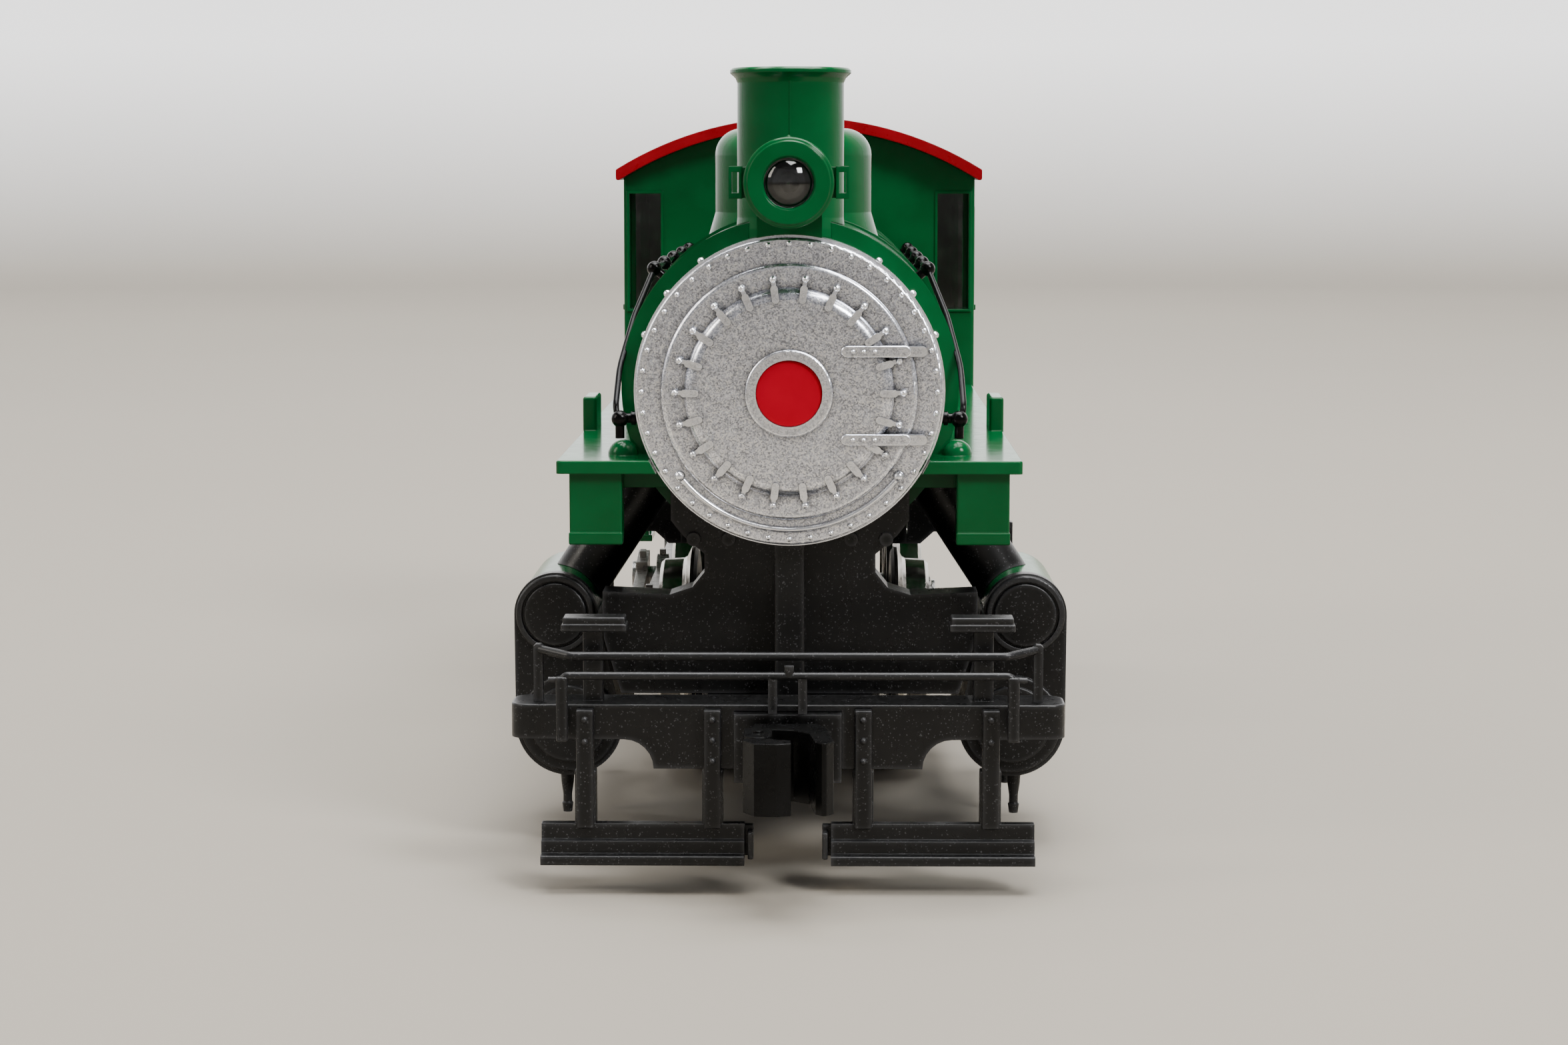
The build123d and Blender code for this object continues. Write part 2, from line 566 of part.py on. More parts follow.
def pilot_beam():
    """Bumper beam with its deck, shaped apron and the two raised deck steps."""
    half = [(0, BEAM_TOP_Z), (BEAM_X, BEAM_TOP_Z), (BEAM_X, 8.7), (10.25, 8.65)]
    curve = [radians(90 + 15 * i) for i in range(1, 6)]
    half += [(10.25 + 1.85 * cos(a), 6.8 + 1.85 * sin(a)) for a in curve]
    half += [(8.4, 6.8), (0, 6.8)]
    apron = plate_y(half, (BEAM_Y[0], BEAM_Y[0] + 1.2))
    apron += block((0, BEAM_X), BEAM_Y, (BEAM_TOP_Z - 1.0, BEAM_TOP_Z))
    end = block((BEAM_X - 1.6, BEAM_X), BEAM_Y, (8.7, BEAM_TOP_Z))
    apron += end
    corners = apron.edges().filter_by(Axis.Z).group_by(Axis.X)[-1]
    apron = fillet(corners, 1.1)
    top_front = apron.edges().filter_by(Axis.X).group_by(Axis.Z)[-1].sort_by(Axis.Y)[0]
    apron = fillet(top_front, 0.12)
    apron += deck_step()
    beam = apron + flip(apron)
    return beam - block((-3.37, 3.37), (0, BEAM_Y[1] + 0.1), (6.0, 10.45))


def footboard():
    """Left footboard: a backed tread hung from the beam by two riveted posts."""
    bottom, top = FOOTBOARD_Z
    section = [(0.0, bottom), (1.9, bottom), (1.9, top), (1.1, top), (1.05, 2.45)]
    section += [(0.75, 2.35), (0.7, 1.6), (0.0, 1.55)]
    board = plate_x(section, FOOTBOARD_X)
    board = fillet(board.edges().filter_by(Axis.X).sort_by(Axis.Y)[:2], 0.12)
    low_x = FOOTBOARD_X[0]
    board += soft_block((low_x - 0.55, low_x + 0.6), (1.9, 2.4), (1.2, 3.2), 0.1)
    board += soft_block((low_x - 0.55, low_x - 0.2), (0.7, 2.4), (1.2, 2.9), 0.1)
    for x in POST_XS:
        span = (x - POST_HALF, x + POST_HALF)
        board += soft_block(span, (0.9, BEAM_Y[0] + 0.1), (top - 0.3, 10.6), 0.1)
        board += soft_block((span[0] - 0.12, span[1] + 0.12), (1.2, 2.4), (top - 0.3, 6.75), 0.1)
        rivets = (10.0, 8.6) if x > 10 else (10.0, 8.7, 7.4)
        board += [Pos(x, 0.9, z) * Sphere(0.2) for z in rivets]
    behind_posts = block((2.0, BEAM_X), (BEAM_Y[0], BEAM_Y[1]), (6.8, BEAM_TOP_Z))
    return board - behind_posts


def pilot_handrail():
    """Round rail over the pilot deck, bent back at each end to a flat leg."""
    leg_x, leg_top, bend_x, rail_y, rail_z = 15.66, 14.5, 13.6, 1.35, 13.95
    ends = [(leg_x, 2.9, leg_top - 0.35), (bend_x, rail_y, rail_z)]
    points = ends + [(-x, y, z) for x, y, z in reversed(ends)]
    rail = wire(points, 0.27, [0.6, 0.6])
    for side in (-1, 1):
        leg = block((side * leg_x - 0.3, side * leg_x + 0.3), (2.6, 3.2), (BEAM_TOP_Z, leg_top))
        rail += chamfer(leg.edges().filter_by(Axis.Y).group_by(Axis.Z)[-1], 0.15)
    return rail


def uncoupling_lever():
    """Lever bar across the front, its two drop handles, and its centre brackets."""
    reach, lever_y, lever_z = 13.95, -0.1, 12.95
    points = [(-reach, lever_y, 9.1), (-reach, lever_y, lever_z)]
    points += [(reach, lever_y, lever_z), (reach, lever_y, 9.1)]
    lever = wire(points, 0.25, [0.45, 0.45])
    for side in (-1, 1):
        grip = (side * reach - 0.36, side * reach + 0.36)
        lever += soft_block(grip, (-0.42, 0.14), (8.85, 12.9), 0.13)
        stub = sorted((side * (reach + 0.1), side * (reach + 0.85)))
        lever += bar_x(0.17, stub, lever_y + 0.05, lever_z - 0.25)
        bracket = (side * 0.93 - 0.27, side * 0.93 + 0.27)
        lever += block(bracket, (-0.3, 0.15), (BEAM_TOP_Z - 0.25, 12.9))
        lever += block(bracket, (0.1, 2.4), (BEAM_TOP_Z, BEAM_TOP_Z + 0.3))
    return lever + bar_z(0.3, 0.1, lever_y, (12.9, 13.6))


def coupler_pocket():
    """Box in the beam that holds the coupler shank and its pivot post."""
    pocket = block((-3.35, 3.35), (0.6, 5.4), (6.1, 10.4))
    pocket -= block((-2.5, 2.5), (0, 5.0), (7.0, 9.4))
    return pocket + bar_z(0.6, 0, COUPLER_PIVOT_Y, (6.5, 10.0))


def front_coupler():
    """Coupler shank with its guard arm; the knuckle is a piece of its own."""
    shank = block((-0.8, 0.8), (-1.5, COUPLER_PIVOT_Y), (7.2, 9.2))
    shank += bar_z(1.4, 0, COUPLER_PIVOT_Y, (7.2, 9.2))
    head_line = [(-2.0, -0.8), (1.9, -0.8), (2.4, -2.4), (2.85, -6.6), (2.3, -7.4)]
    head_line += [(1.75, -6.8), (1.35, -3.9), (0.4, -3.0), (-0.6, -2.8), (-2.2, -2.6)]
    head = plate_z(head_line, COUPLER_Z)
    head = fillet(head.edges().filter_by(Axis.Z).sort_by(Axis.Y)[:3], 0.2)
    lug = block((-2.6, -0.9), (-4.6, -2.4), COUPLER_Z)
    lug += bar_z(0.85, KNUCKLE_PIVOT[0], -4.6, COUPLER_Z)
    lug -= block((-3, 0), (-6, -2.65), (COUPLER_Z[0] + 0.9, COUPLER_Z[1] - 0.9))
    coupler = shank + head + lug
    coupler += bar_z(0.35, *KNUCKLE_PIVOT, (COUPLER_Z[0] - 0.2, COUPLER_Z[1] + 0.2))
    coupler -= bar_z(0.6 + RUNNING_GAP, 0, COUPLER_PIVOT_Y, (6, 11))
    return coupler


def coupler_knuckle():
    """Hooked knuckle between the coupler's two lugs, turning on its upright pin."""
    hook = [(-2.45, -3.1), (-1.05, -3.1), (-0.85, -4.6), (-1.05, -5.6), (-0.4, -6.1)]
    hook += [(0.25, -6.3), (0.3, -7.3), (-0.6, NOSE_Y), (-1.9, -7.45), (-2.6, -6.3)]
    gap = 0.08
    knuckle = plate_z(hook, (COUPLER_Z[0] + 0.9 + gap, COUPLER_Z[1] - 0.9 - gap))
    front = [(-2.5, -5.75), (-1.05, -5.75), (-0.4, -6.1), (0.25, -6.3), (0.3, -7.3)]
    front += [(-0.6, NOSE_Y), (-1.9, -7.45), (-2.6, -6.3)]
    knuckle += plate_z(front, COUPLER_Z)
    return knuckle - bar_z(0.35 + RUNNING_GAP, *KNUCKLE_PIVOT, (0, 20))


# ---- smokebox, stack and headlight ---------------------------------------------------
RIVETS = 44
RIVET_R = 0.18
RIVET_CIRCLE = 9.46
DOGS = 22
RING_R = 8.22                 # raised ring round the door
RING_Y = FRONT_Y - 0.35
DOOR_R = 6.72
DOOR_EDGE = 0.8               # rounding of the door's edge
DOOR_Y = RING_Y - 0.85
PLATE_Y = DOOR_Y - 0.3        # face of the number plate's holder
PLATE_RING_R = 2.8
PLATE_R = 2.13
HINGE_DROPS = (2.66, -2.96)   # of the two hinge straps, from the boiler's axis
ROD_R = 8.84                  # bent rod along the bottom of the front
ROD_END = 127.6               # angle of its ball ends from the top


def on_front(radius, angle):
    """(x, z) of a point on the smokebox front, its angle clockwise from the top."""
    return radius * sin(radians(angle)), BOILER_Z + radius * cos(radians(angle))


def door_dog(angle):
    """One dog: an oval clamp over the door's edge, with its bolt outside it."""
    half_width = 0.23
    inner, outer, bolt = 5.98, 6.68, 7.28
    clamp_y = (DOOR_Y - 0.18, RING_Y + 0.1)
    dog = block((-half_width, half_width), clamp_y, (inner, outer))
    dog += bar_y(half_width, 0, clamp_y, inner) + bar_y(half_width, 0, clamp_y, outer)
    dog += block((-0.14, 0.14), (RING_Y - 0.35, RING_Y + 0.1), (outer, bolt))
    dog += bar_y(0.18, 0, (RING_Y - 0.4, RING_Y + 0.1), bolt)
    dog += Pos(0, RING_Y - 0.42, bolt) * Sphere(0.22)
    return Pos(0, 0, BOILER_Z) * Rot(0, angle, 0) * dog


def hinge_strap(drop):
    """One door hinge: a riveted strap with rounded ends, and the leaf it turns on."""
    z = BOILER_Z + drop
    half, front = 0.38, DOOR_Y - 0.2
    near, far, leaf_end = 3.3 + half, 7.75 - half, 8.45
    strap = block((near, far), (front, RING_Y + 0.1), (z - half, z + half))
    strap += [bar_y(half, x, (front, RING_Y + 0.1), z) for x in (near, far)]
    strap = fillet(strap.faces().sort_by(Axis.Y)[0].edges(), 0.1)
    strap += block((far, leaf_end), (front + 0.12, FRONT_Y + 0.1), (z - 0.32, z + 0.32))
    strap += bar_y(0.32, leaf_end, (front + 0.12, FRONT_Y + 0.1), z)
    return strap + [Pos(x, front + 0.03, z) * Sphere(0.15) for x in (4.06, 4.74, 5.46)]


def smokebox_front():
    """Smokebox front with its raised ring, door, dogs, hinges, rivets and bent rod."""
    back = 9.4
    profile = [(0, back), (FRONT_R, back), (FRONT_R, FRONT_Y), (RING_R, FRONT_Y), (RING_R, RING_Y)]
    profile += [(DOOR_R, RING_Y), (DOOR_R, DOOR_Y), (PLATE_RING_R, DOOR_Y), (PLATE_RING_R, PLATE_Y)]
    profile += [(PLATE_R, PLATE_Y), (PLATE_R, PLATE_Y + 0.35), (0, PLATE_Y + 0.35)]
    front = turned_y(profile)
    rounded = ((FRONT_R, FRONT_Y, 0.18), (RING_R, RING_Y, 0.3), (DOOR_R, DOOR_Y, DOOR_EDGE))
    for radius, y, rounding in rounded + ((PLATE_RING_R, PLATE_Y, 0.15),):
        rims = front.edges().filter_by(GeomType.CIRCLE)
        rim = rims.filter_by(lambda e: abs(e.arc_center.Y - y) + abs(e.radius - radius) < 0.01)
        front = fillet(rim, rounding)
    front = Pos(0, 0, BOILER_Z) * front
    details = []
    for i in range(RIVETS):
        x, z = on_front(RIVET_CIRCLE, 360 * i / RIVETS)
        details.append(Pos(x, FRONT_Y + 0.02, z) * Sphere(RIVET_R))
    details += [door_dog(360 * (i + 0.5) / DOGS) for i in range(DOGS)]
    details += [hinge_strap(drop) for drop in HINGE_DROPS]
    rod = Pos(0, FRONT_Y - 0.05, BOILER_Z) * Rot(90, 0, 0) * Torus(ROD_R, 0.19)
    end_x, end_z = on_front(ROD_R, ROD_END)
    details.append(rod & block((-end_x, end_x), (FRONT_Y - 1, FRONT_Y + 1), (10, end_z)))
    for side in (-1, 1):
        details.append(Pos(side * end_x, FRONT_Y - 0.05, end_z) * Sphere(0.36))
    return front + details


def number_plate():
    """Blank round plate in the middle of the smokebox door."""
    disc = bar_y(PLATE_R - 0.02, 0, (PLATE_Y + 0.15, PLATE_Y + 0.35), BOILER_Z)
    return fillet(disc.edges().sort_by(Axis.Y)[0], 0.08)


def smokebox_ring():
    """Short smokebox barrel between the front and the boiler, with a row of bolts."""
    ring = bar_y(SMOKEBOX_R, 0, (9.4, BOILER_FRONT_Y), BOILER_Z)
    ring -= bar_y(SMOKEBOX_R - 0.9, 0, (9, 14), BOILER_Z)
    bolts = []
    for i in range(9):
        angle = 70 - 17.5 * i
        bolt = Pos(0, 12.3, BOILER_Z) * Rot(0, angle, 0) * Pos(0, 0, SMOKEBOX_R) * Sphere(0.28)
        if abs(angle) > 25:
            bolts.append(bolt)
    return ring + bolts


def smokestack():
    """Straight stack with a flared lip, its foot saddled to the boiler top."""
    top = STACK_TOP_Z
    floor = top - 8.0
    profile = [(STACK_BORE_R, floor), (STACK_BORE_R, top - 0.4), (3.2, top - 0.1), (3.45, top)]
    profile += [(3.8, top), (LIP_R, top - 0.14), (LIP_R, top - 0.34), (3.78, top - 0.5)]
    profile += [(3.62, top - 0.66), (STACK_R, top - 0.95), (STACK_R, FOOT_TOP_Z)]
    profile += [(FOOT_R, FOOT_TOP_Z - 0.7), (FOOT_R, 38.0), (0, 38.0), (0, floor)]
    stack = Pos(0, STACK_Y, 0) * turned_z(profile)
    seam_y = STACK_Y - STACK_R - 0.03
    stack += block((-0.045, 0.045), (seam_y, seam_y + 1.0), (FOOT_TOP_Z, top - 0.9))
    return stack - boiler_space(0.01)


def headlight_case():
    """Headlight drum on its pedestal, with a small open board frame on each side."""
    y = HEADLIGHT_Y
    r = HEADLIGHT_R
    socket_r = LENS_R + 0.03
    profile = [(socket_r + 0.12, y), (r - 0.28, y), (r - 0.2, y + 0.1), (r - 0.1, y + 0.12)]
    profile += [(r, y + 0.22), (r, y + 0.8), (r - 0.12, y + 0.9), (r - 0.12, y + 1.2)]
    profile += [(r, y + 1.3), (r, y + 5.2), (r - 0.8, y + 6.3), (0, y + 6.3), (0, y + 4.2)]
    profile += [(1.2, y + 3.6), (socket_r, y + 1.2), (socket_r, y + 0.25)]
    case = Pos(0, 0, HEADLIGHT_Z) * turned_y(profile)
    case += Pos(0, y + 0.55, HEADLIGHT_Z + r) * Sphere(0.12)
    for side in (-1, 1):
        arm = sorted((side * 2.6, side * 3.0))
        case += block(arm, (6.6, 8.2), (HEADLIGHT_Z - 0.95, HEADLIGHT_Z + 1.0))
        loop = sorted((side * 2.95, side * 3.78))
        hole = sorted((side * 3.14, side * 3.6))
        frame = block(loop, (6.3, 8.2), (HEADLIGHT_Z - 1.0, HEADLIGHT_Z + 1.05))
        case += frame - block(hole, (6, 9), (HEADLIGHT_Z - 0.62, HEADLIGHT_Z + 0.66))
    pedestal = block((-2.08, 2.08), (8.6, 12.0), (39.0, HEADLIGHT_Z - 1.9))
    case += pedestal - Pos(0, 0, HEADLIGHT_Z) * bar_y(r - 0.2, 0, (0, 20), 0)
    stack_space = bar_z(STACK_R + 0.01, 0, STACK_Y, (38, 60))
    stack_space += bar_z(FOOT_R + 0.05, 0, STACK_Y, (38, FOOT_TOP_Z + 0.1))
    return case - stack_space - boiler_space(0.01)


def headlight_lens():
    """Clear lens, domed at the front and a little hollow behind."""
    back = HEADLIGHT_Y + 1.15
    ball_y = HEADLIGHT_Y + LENS_RIM + sqrt(LENS_BALL_R ** 2 - LENS_R ** 2)
    ball = Pos(0, ball_y, HEADLIGHT_Z) * Sphere(LENS_BALL_R)
    lens = ball & bar_y(LENS_R, 0, (HEADLIGHT_Y - 1, HEADLIGHT_Y + 0.9), HEADLIGHT_Z)
    lens += bar_y(LENS_R, 0, (HEADLIGHT_Y + 0.8, back), HEADLIGHT_Z)
    hollow = Pos(0, back + 1.6, HEADLIGHT_Z) * Sphere(2.0)
    return lens - hollow


def headlight_bulb():
    bulb = bar_y(0.5, 0, (HEADLIGHT_Y + 2.4, HEADLIGHT_Y + 3.9), HEADLIGHT_Z)
    return bulb + Pos(0, HEADLIGHT_Y + 2.4, HEADLIGHT_Z) * Sphere(0.5)


# ---- boiler and its fittings ---------------------------------------------------------
BAND_YS = (24.5, 42.0, 48.5, 62.5, 71.5)
DOMES = ((32.5, 5.55, 47.0), (55.5, 5.6, 46.6))   # (y, radius, top)
DOME_SHOULDER = 1.9           # rounding of a dome's top edge


def boiler_shell():
    """Boiler barrel, open underneath for the motor, with thin raised bands."""
    y = (BOILER_FRONT_Y, CAB_Y[0] + CAB_WALL)
    inner = BOILER_R - BOILER_WALL
    shell = bar_y(BOILER_R, 0, y, BOILER_Z)
    upper = block((-15, 15), (0, 100), (BOARD_Z[1] + 0.2, 60))
    bands = [bar_y(BOILER_R + 0.2, 0, (at - 0.45, at + 0.45), BOILER_Z) & upper for at in BAND_YS]
    shell += bands
    shell -= bar_y(inner, 0, (y[0] + 1.0, y[1] + 1), BOILER_Z)
    shell -= bar_y(7.5, 0, (y[0] - 1, y[0] + 2), BOILER_Z)
    firebox = block((-9.35, 9.35), (56.0, CAB_Y[0]), (17.6, BOILER_Z - 3))
    shell += firebox - bar_y(inner, 0, (50, 80), BOILER_Z)
    return shell - block((-8.45, 8.45), (33.0, 100), (10, BOILER_Z))


def dome(y, radius, top):
    """Round-shouldered dome, saddled to the boiler."""
    flat = radius - DOME_SHOULDER
    start = top - DOME_SHOULDER - 0.1
    bulge = DOME_SHOULDER * sqrt(0.5)
    outline = [
        Line((radius + 0.5, 0, 39.3), (radius, 0, 41.0)),
        Line((radius, 0, 41.0), (radius, 0, start)),
        ThreePointArc((radius, 0, start), (flat + bulge, 0, start + bulge), (flat, 0, top - 0.1)),
        Line((flat, 0, top - 0.1), (0, 0, top)),
        Line((0, 0, top), (0, 0, 34.0)),
        Line((0, 0, 34.0), (radius + 0.5, 0, 34.0)),
        Line((radius + 0.5, 0, 34.0), (radius + 0.5, 0, 39.3)),
    ]
    piece = Pos(0, y, 0) * revolve(make_face(outline), Axis.Z, 360)
    return piece - bar_y(BOILER_R + 0.01, 0, (0, 110), BOILER_Z)


def bell():
    """Bell in its forked hanger on the boiler top."""
    y = 22.0
    top = BOILER_Z + BOILER_R
    cup = [(0, 44.5), (0.5, 44.4), (0.75, 43.8), (0.9, 42.9), (1.45, 42.1), (1.45, 41.9), (0, 41.9)]
    piece = Pos(0, y, 0) * turned_z(cup)
    for side in (-1, 1):
        piece += block((side * 1.95 - 0.25, side * 1.95 + 0.25), (y - 0.3, y + 0.3), (top - 1, 44.6))
    piece += bar_x(0.25, (-1.95, 1.95), y, 44.3)
    return piece - bar_y(BOILER_R + 0.01, 0, (0, 110), BOILER_Z)


def safety_valves():
    """Two safety valves and a whistle on the boiler top."""
    turned = [(0, 40.0), (0.85, 40.0), (0.85, 41.6), (0.5, 41.9), (0.5, 42.6), (0.7, 42.8)]
    turned += [(0.7, 43.9), (0.35, 44.2), (0, 44.2)]
    cut = bar_y(BOILER_R + 0.01, 0, (0, 110), BOILER_Z)
    places = ((-1.4, 66.5), (1.4, 66.5), (0, 69.5))
    return [Pos(x, y, 0) * turned_z(turned) - cut for x, y in places]


def boiler_weight():
    """Cast weight that fills the front of the boiler."""
    weight = bar_y(BOILER_R - BOILER_WALL - 0.05, 0, (15.0, 32.0), BOILER_Z)
    return weight - block((-12, 12), (10, 40), (36.5, 45))


def circuit_board():
    """Flat wiring board over the motor, with its small components."""
    board = block((-6.5, 6.5), (34, 58), (33.2, 34.0))
    board += [block((x, x + 1.8), (y, y + 3.0), (34.0, 35.0)) for x in (-5, 0, 3.5) for y in (37, 49)]
    return board


# ---- running boards and handrails ----------------------------------------------------
def running_board():
    """Left running board with its front step bracket and the jacket on the valve chest."""
    board = block((7.0, BOARD_X), (8.2, CAB_Y[0]), BOARD_Z)
    board = fillet(board.edges().group_by(Axis.X)[-1].filter_by(Axis.Z), 0.3)
    board = fillet(board.faces().sort_by(Axis.Z)[-1].outer_wire().edges().sort_by(Axis.X)[1:], 0.12)
    board += block((7.0, 10.9), (11.0, 12.15), (23.5, BOARD_Z[0]))
    board += block((10.75, 14.2), (12.0, CAB_Y[0]), (24.1, BOARD_Z[0]))
    board += soft_block((14.0, 15.0), (31.0, 35.5), (BOARD_Z[1] - 0.3, 27.9), 0.2)
    board += Pos(10.9, 12.6, BOARD_Z[1]) * Sphere(1.0)
    step = soft_block((10.75, 14.15), (8.7, 12.0), (20.1, BOARD_Z[0] + 0.3), 0.15)
    step -= block((10, 15), (8, 13), (BOARD_Z[0], 26))
    step -= block((11.2, 13.7), (9.5, 13), (20.8, BOARD_Z[0] - 0.3))
    step -= block((10, 15), (10.6, 13), (19, 23.4))
    step += soft_block((10.72, 14.18), (8.42, 9.7), (20.05, 20.85), 0.1)
    board += step
    jacket_y = (CYLINDER_Y[0] + CHEST_FLANGE + 0.02, CYLINDER_Y[1])
    jacket = bar_y(JACKET_R[1], CHEST_X, jacket_y, CHEST_Z)
    jacket -= bar_y(JACKET_R[0], CHEST_X, jacket_y, CHEST_Z)
    jacket &= block((10, 20), jacket_y, (CHEST_Z + 0.02, 20))
    board -= bar_y(BOILER_R + 0.02, 0, (BOILER_FRONT_Y, 110), BOILER_Z)
    board -= bar_y(SMOKEBOX_R + 0.02, 0, (0, BOILER_FRONT_Y), BOILER_Z)
    return [board, jacket]


RAIL_R = 0.2
RAIL_X, RAIL_Z = 9.1, 37.45   # wire along the boiler
RAIL_BEND_Y = 18.0            # knob where the wire turns down beside the smokebox
RAIL_FOOT = (10.9, 9.4, 28.1)
KNOB_YS = (30.5, 43.5, 57.0, 69.5)


def handrail():
    """Left handrail wire, along the boiler and down beside the smokebox, on knobs."""
    foot_x, foot_y, foot_z = RAIL_FOOT
    points = [(RAIL_X, CAB_Y[0], RAIL_Z), (RAIL_X, RAIL_BEND_Y, RAIL_Z), (10.3, 15.3, 34.4)]
    points += [(11.1, 12.4, 31.2), (11.2, 9.9, 28.9), (foot_x, foot_y, foot_z - 1.1)]
    rail = wire(points, RAIL_R, [1.2, 9.0, 9.0, 1.2])
    lean = degrees(atan2(RAIL_X, RAIL_Z - BOILER_Z))
    knob = Pos(0, 0, sqrt(RAIL_X ** 2 + (RAIL_Z - BOILER_Z) ** 2)) * Sphere(0.5)
    post = Pos(0, 0, BOILER_R + 0.25) * Cylinder(0.3, 1.3)
    stud = Pos(0, 0, BOILER_Z) * Rot(0, lean, 0) * (knob + post)
    rail += [Pos(0, y, 0) * stud for y in (RAIL_BEND_Y,) + KNOB_YS]
    rail += Pos(*RAIL_FOOT) * Sphere(0.55)
    rail += bar_x(0.33, (9.4, foot_x), foot_y + 0.6, foot_z)
    rail += bar_x(0.45, (foot_x - 1.0, foot_x - 0.7), foot_y + 0.6, foot_z)
    rail += bar_z(0.3, foot_x, foot_y, (foot_z - 1.25, foot_z))
    return rail - boiler_space(0.01)


# ---- cab -----------------------------------------------------------------------------
def under_roof(thick):
    """The space below the roof arch, thick below the roof's top surface."""
    return bar_y(ROOF_R - thick, 0, (60, 110), ROOF_TOP_Z - ROOF_R)


def widened(span, margin):
    """A (low, high) pair grown by margin at both ends."""
    return span[0] - margin, span[1] + margin


def cab_shell():
    """Cab sides, front and floor, open at the back, with its windows and steps."""
    shell = block((-CAB_X, CAB_X), CAB_Y, (CAB_FLOOR_Z[0], 50))
    shell = fillet(shell.edges().filter_by(Axis.Z), 0.3) & under_roof(ROOF_THICK + 0.01)
    inside = (-CAB_X + CAB_WALL, CAB_X - CAB_WALL)
    shell -= block(inside, (CAB_Y[0] + CAB_WALL, CAB_Y[1] - CAB_WALL), (CAB_FLOOR_Z[1], 50))
    shell -= block((-9.6, 9.6), (CAB_Y[1] - 2, CAB_Y[1] + 1), (CAB_FLOOR_Z[1], 43.5))
    shell -= bar_y(BOILER_R + 0.02, 0, (70, 80), BOILER_Z)
    shell -= block((-8.45, 8.45), (70, 80), (CAB_FLOOR_Z[1], BOILER_Z))
    for side in (-1, 1):
        front = sorted((side * 11.9, side * 14.6))
        shell += soft_block(widened(front, 0.25), (77.85, 78.3), widened(FRONT_WINDOW_Z, 0.25), 0.08)
        shell -= block(front, (77, 80), FRONT_WINDOW_Z)
        wall = sorted((side * 13, side * 16))
        rim = sorted((side * (CAB_X - 0.3), side * (CAB_X + 0.15)))
        for y in SIDE_WINDOW_YS:
            shell += soft_block(rim, widened(y, 0.3), widened(SIDE_WINDOW_Z, 0.3), 0.08)
            shell -= block(wall, y, SIDE_WINDOW_Z)
        sill = sorted((side * (CAB_X - 0.1), side * (CAB_X + 0.25)))
        shell += soft_block(sill, (80.6, 94.6), (31.8, 32.3), 0.08)
        for leg_y in (92.6, 96.6):
            leg = sorted((side * 13.9, side * 14.4))
            shell += soft_block(leg, (leg_y, leg_y + 0.7), (10.2, CAB_FLOOR_Z[0] + 0.3), 0.1)
        for tread_z in (10.0, 15.4):
            tread = sorted((side * 13.6, side * 15.2))
            shell += soft_block(tread, (92.4, 97.5), (tread_z, tread_z + 0.6), 0.1)
    return shell


def cab_roof():
    """Arched roof that overhangs the cab, with a ventilator hatch."""
    y = (75.6, 101.0)
    roof = bar_y(ROOF_R, 0, y, ROOF_TOP_Z - ROOF_R) - under_roof(ROOF_THICK)
    roof &= block((-ROOF_X, ROOF_X), y, (40, 52))
    roof = fillet(roof.edges().filter_by(Axis.Y), 0.2)
    hatch = soft_block((-3.2, 3.2), (84.0, 91.0), (47.0, 49.2), 0.25)
    return roof + (hatch - under_roof(0))


def cab_glazing():
    """Clear panes inside the cab's front and side windows."""
    panes = []
    for side in (-1, 1):
        front = sorted((side * 11.6, side * 14.1))
        panes.append(block(front, (78.95, 79.3), (31.6, 42.3)))
        wall = sorted((side * 13.8, side * 14.15))
        panes.append(block(wall, (80.7, 94.5), (32.0, 41.0)))
    return panes


def backhead():
    """Back of the firebox in the cab, with door, gauges and throttle lever."""
    wall = CAB_Y[0] + CAB_WALL + 0.05
    plate = bar_y(10.0, 0, (wall, wall + 1.6), BOILER_Z)
    plate += block((-8.2, 8.2), (wall, wall + 1.6), (CAB_FLOOR_Z[0], BOILER_Z))
    plate &= block((-12, 12), (70, 90), (CAB_FLOOR_Z[1] + 0.02, 50))
    plate += bar_y(2.0, 0, (wall + 1.5, wall + 2.1), 26.0)
    plate += [bar_y(0.9, x, (wall + 1.5, wall + 2.3), 36.2) for x in (-3.2, 0, 3.2)]
    plate += bar_y(0.3, 0, (wall + 1.5, wall + 4.0), 33.0)
    return plate + block((-0.25, 4.5), (wall + 3.6, wall + 4.1), (32.75, 33.25))


def drawbar():
    """Rear drawbar with a pivot eye and a round eye for the tender's pin."""
    z = (6.2, 6.9)
    bar = block((-1.3, 1.3), (DRAWBAR_PIVOT_Y, DRAWBAR_EYE_Y), z)
    bar += bar_z(1.9, 0, DRAWBAR_PIVOT_Y, z)
    bar += bar_z(TAIL_Y - DRAWBAR_EYE_Y, 0, DRAWBAR_EYE_Y, z)
    bar -= bar_z(SCREW_R + RUNNING_GAP, 0, DRAWBAR_PIVOT_Y, z)
    return bar - bar_z(DRAWBAR_EYE_R, 0, DRAWBAR_EYE_Y, z)


# ---- write every node ----------------------------------------------------------------
os.makedirs("parts", exist_ok=True)

